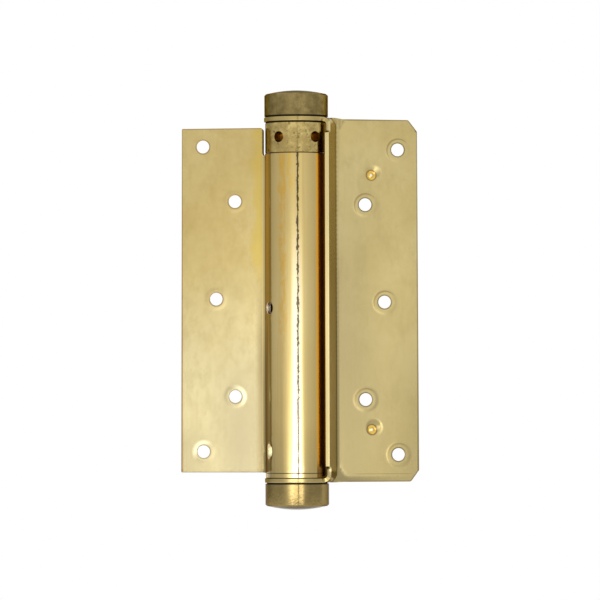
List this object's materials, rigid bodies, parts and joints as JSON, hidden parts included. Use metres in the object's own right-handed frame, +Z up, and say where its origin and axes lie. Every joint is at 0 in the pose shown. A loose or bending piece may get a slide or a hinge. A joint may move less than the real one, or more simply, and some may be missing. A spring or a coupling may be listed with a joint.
{
  "type": "spring hinge",
  "caption": "Sprung butt hinge: two pressed leaves on a barrel with domed caps and a collar with holes for winding its torsion spring",
  "frame": {"origin": "On the pin axis, halfway between the two ears", "axes": "+Z runs up the pin. The barrel leaf lies along -X with its wood side facing -Y; the frame leaf lies along +X, turned back by 17.5 degrees about Z"},
  "size_m": [0.0958, 0.0266, 0.1724],
  "materials": {
    "leaf_brass": "satin brass plate on pressed steel",
    "antique_brass": "dull antique brass plate on turned steel",
    "spring_steel": "bright drawn steel",
    "dark_steel": "oiled dark steel",
    "nylon": "natural nylon"
  },
  "bodies": {
    "barrel": {"barrel_leaf": "leaf_brass", "spring_anchor_plug": "antique_brass", "lower_bush": "nylon", "spring_arbor": "spring_steel", "torsion_spring": "spring_steel"},
    "frame": {"frame_leaf": "leaf_brass", "top_pivot_pin": "spring_steel", "bottom_pivot_pin": "spring_steel", "top_cap": "antique_brass", "bottom_cap": "antique_brass", "top_cap_shim": "dark_steel", "bottom_cap_shim": "dark_steel", "top_thrust_washer": "dark_steel", "bottom_thrust_washer": "dark_steel"},
    "collar": {"tension_collar": "antique_brass", "upper_bush": "nylon"}
  },
  "joints": [
    {"name": "leaf_swing", "type": "hinge", "parent": "barrel", "child": "frame", "pos_m": [0, 0, 0], "axis": [0, 0, 1], "range_deg": [-17.5, 162.5]},
    {"name": "collar_turn", "type": "hinge", "parent": "barrel", "child": "collar", "pos_m": [0, 0, 0], "axis": [0, 0, 1], "range_deg": [0, 360], "stiffness_Nm_per_rad": 1.2, "deforming": ["torsion_spring"]}
  ]
}
